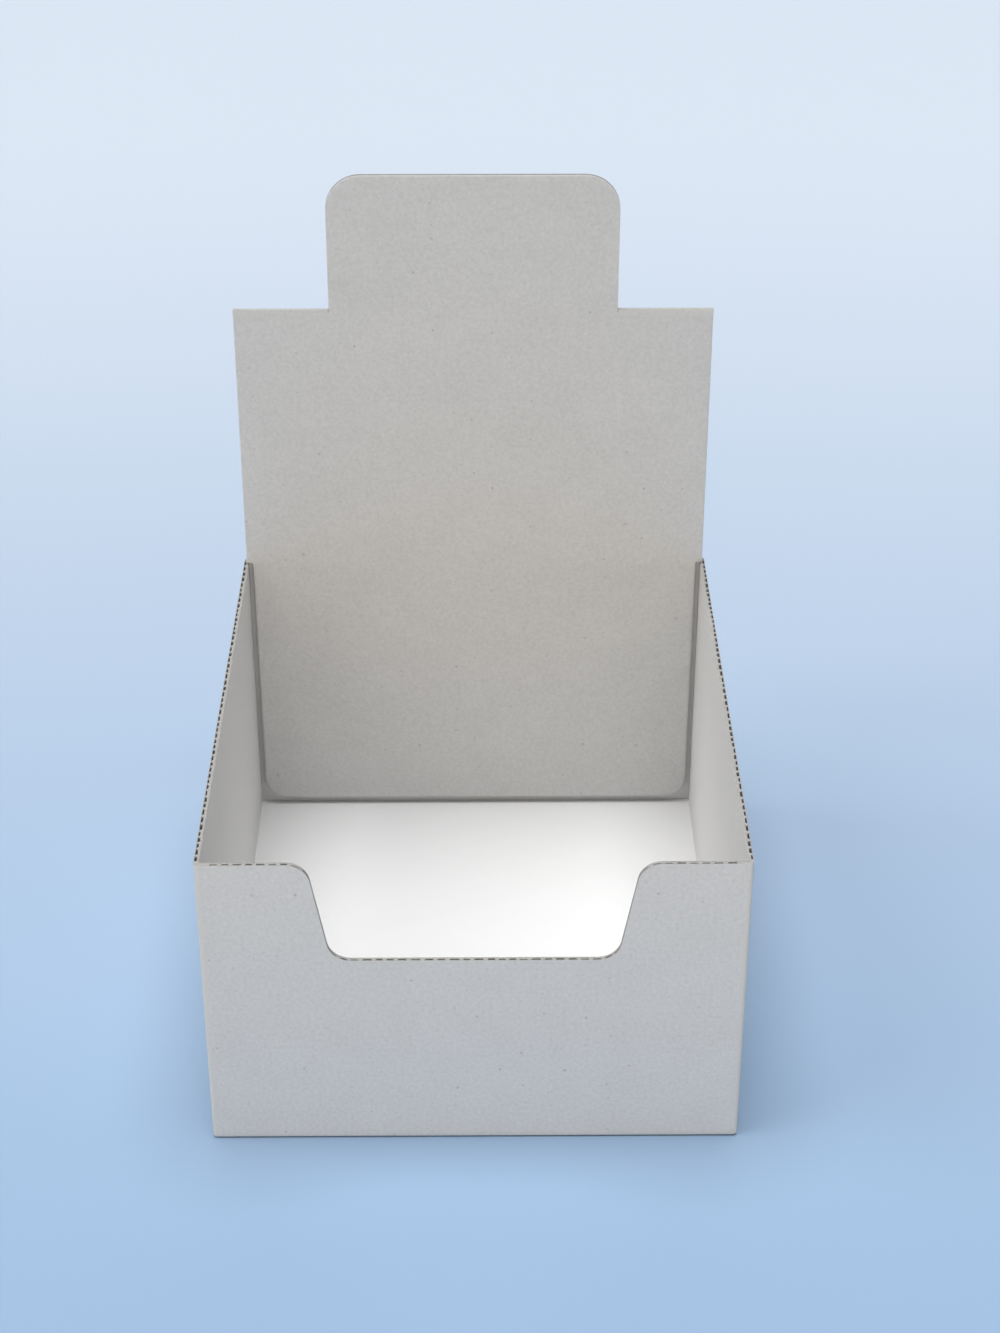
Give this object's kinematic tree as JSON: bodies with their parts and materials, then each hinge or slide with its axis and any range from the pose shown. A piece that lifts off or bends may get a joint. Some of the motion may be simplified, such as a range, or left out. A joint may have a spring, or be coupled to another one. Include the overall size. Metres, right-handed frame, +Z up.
{
  "type": "counter display box",
  "caption": "Open corrugated counter display box with a notched front and a lid folded in half to stand as a header with a rounded tab.",
  "frame": {"origin": "middle of the base, on the surface that the box stands on", "axes": "+Z up, -Y towards the notched front, +X to the right seen from the front"},
  "size_m": [0.16, 0.185, 0.2414],
  "materials": {
    "carton_board": "matt grey recycled liner outside, smooth white liner inside",
    "lid_board": "matt grey recycled liner"
  },
  "bodies": {
    "carton": {"carton": "carton_board"},
    "lid_front": {"lid_front": "lid_board"}
  },
  "joints": [
    {"name": "lid_fold", "type": "hinge", "parent": "carton", "child": "lid_front", "pos_m": [0, 0.09085, 0.1958], "axis": [-1, 0, 0], "range_deg": [0, 180]}
  ]
}
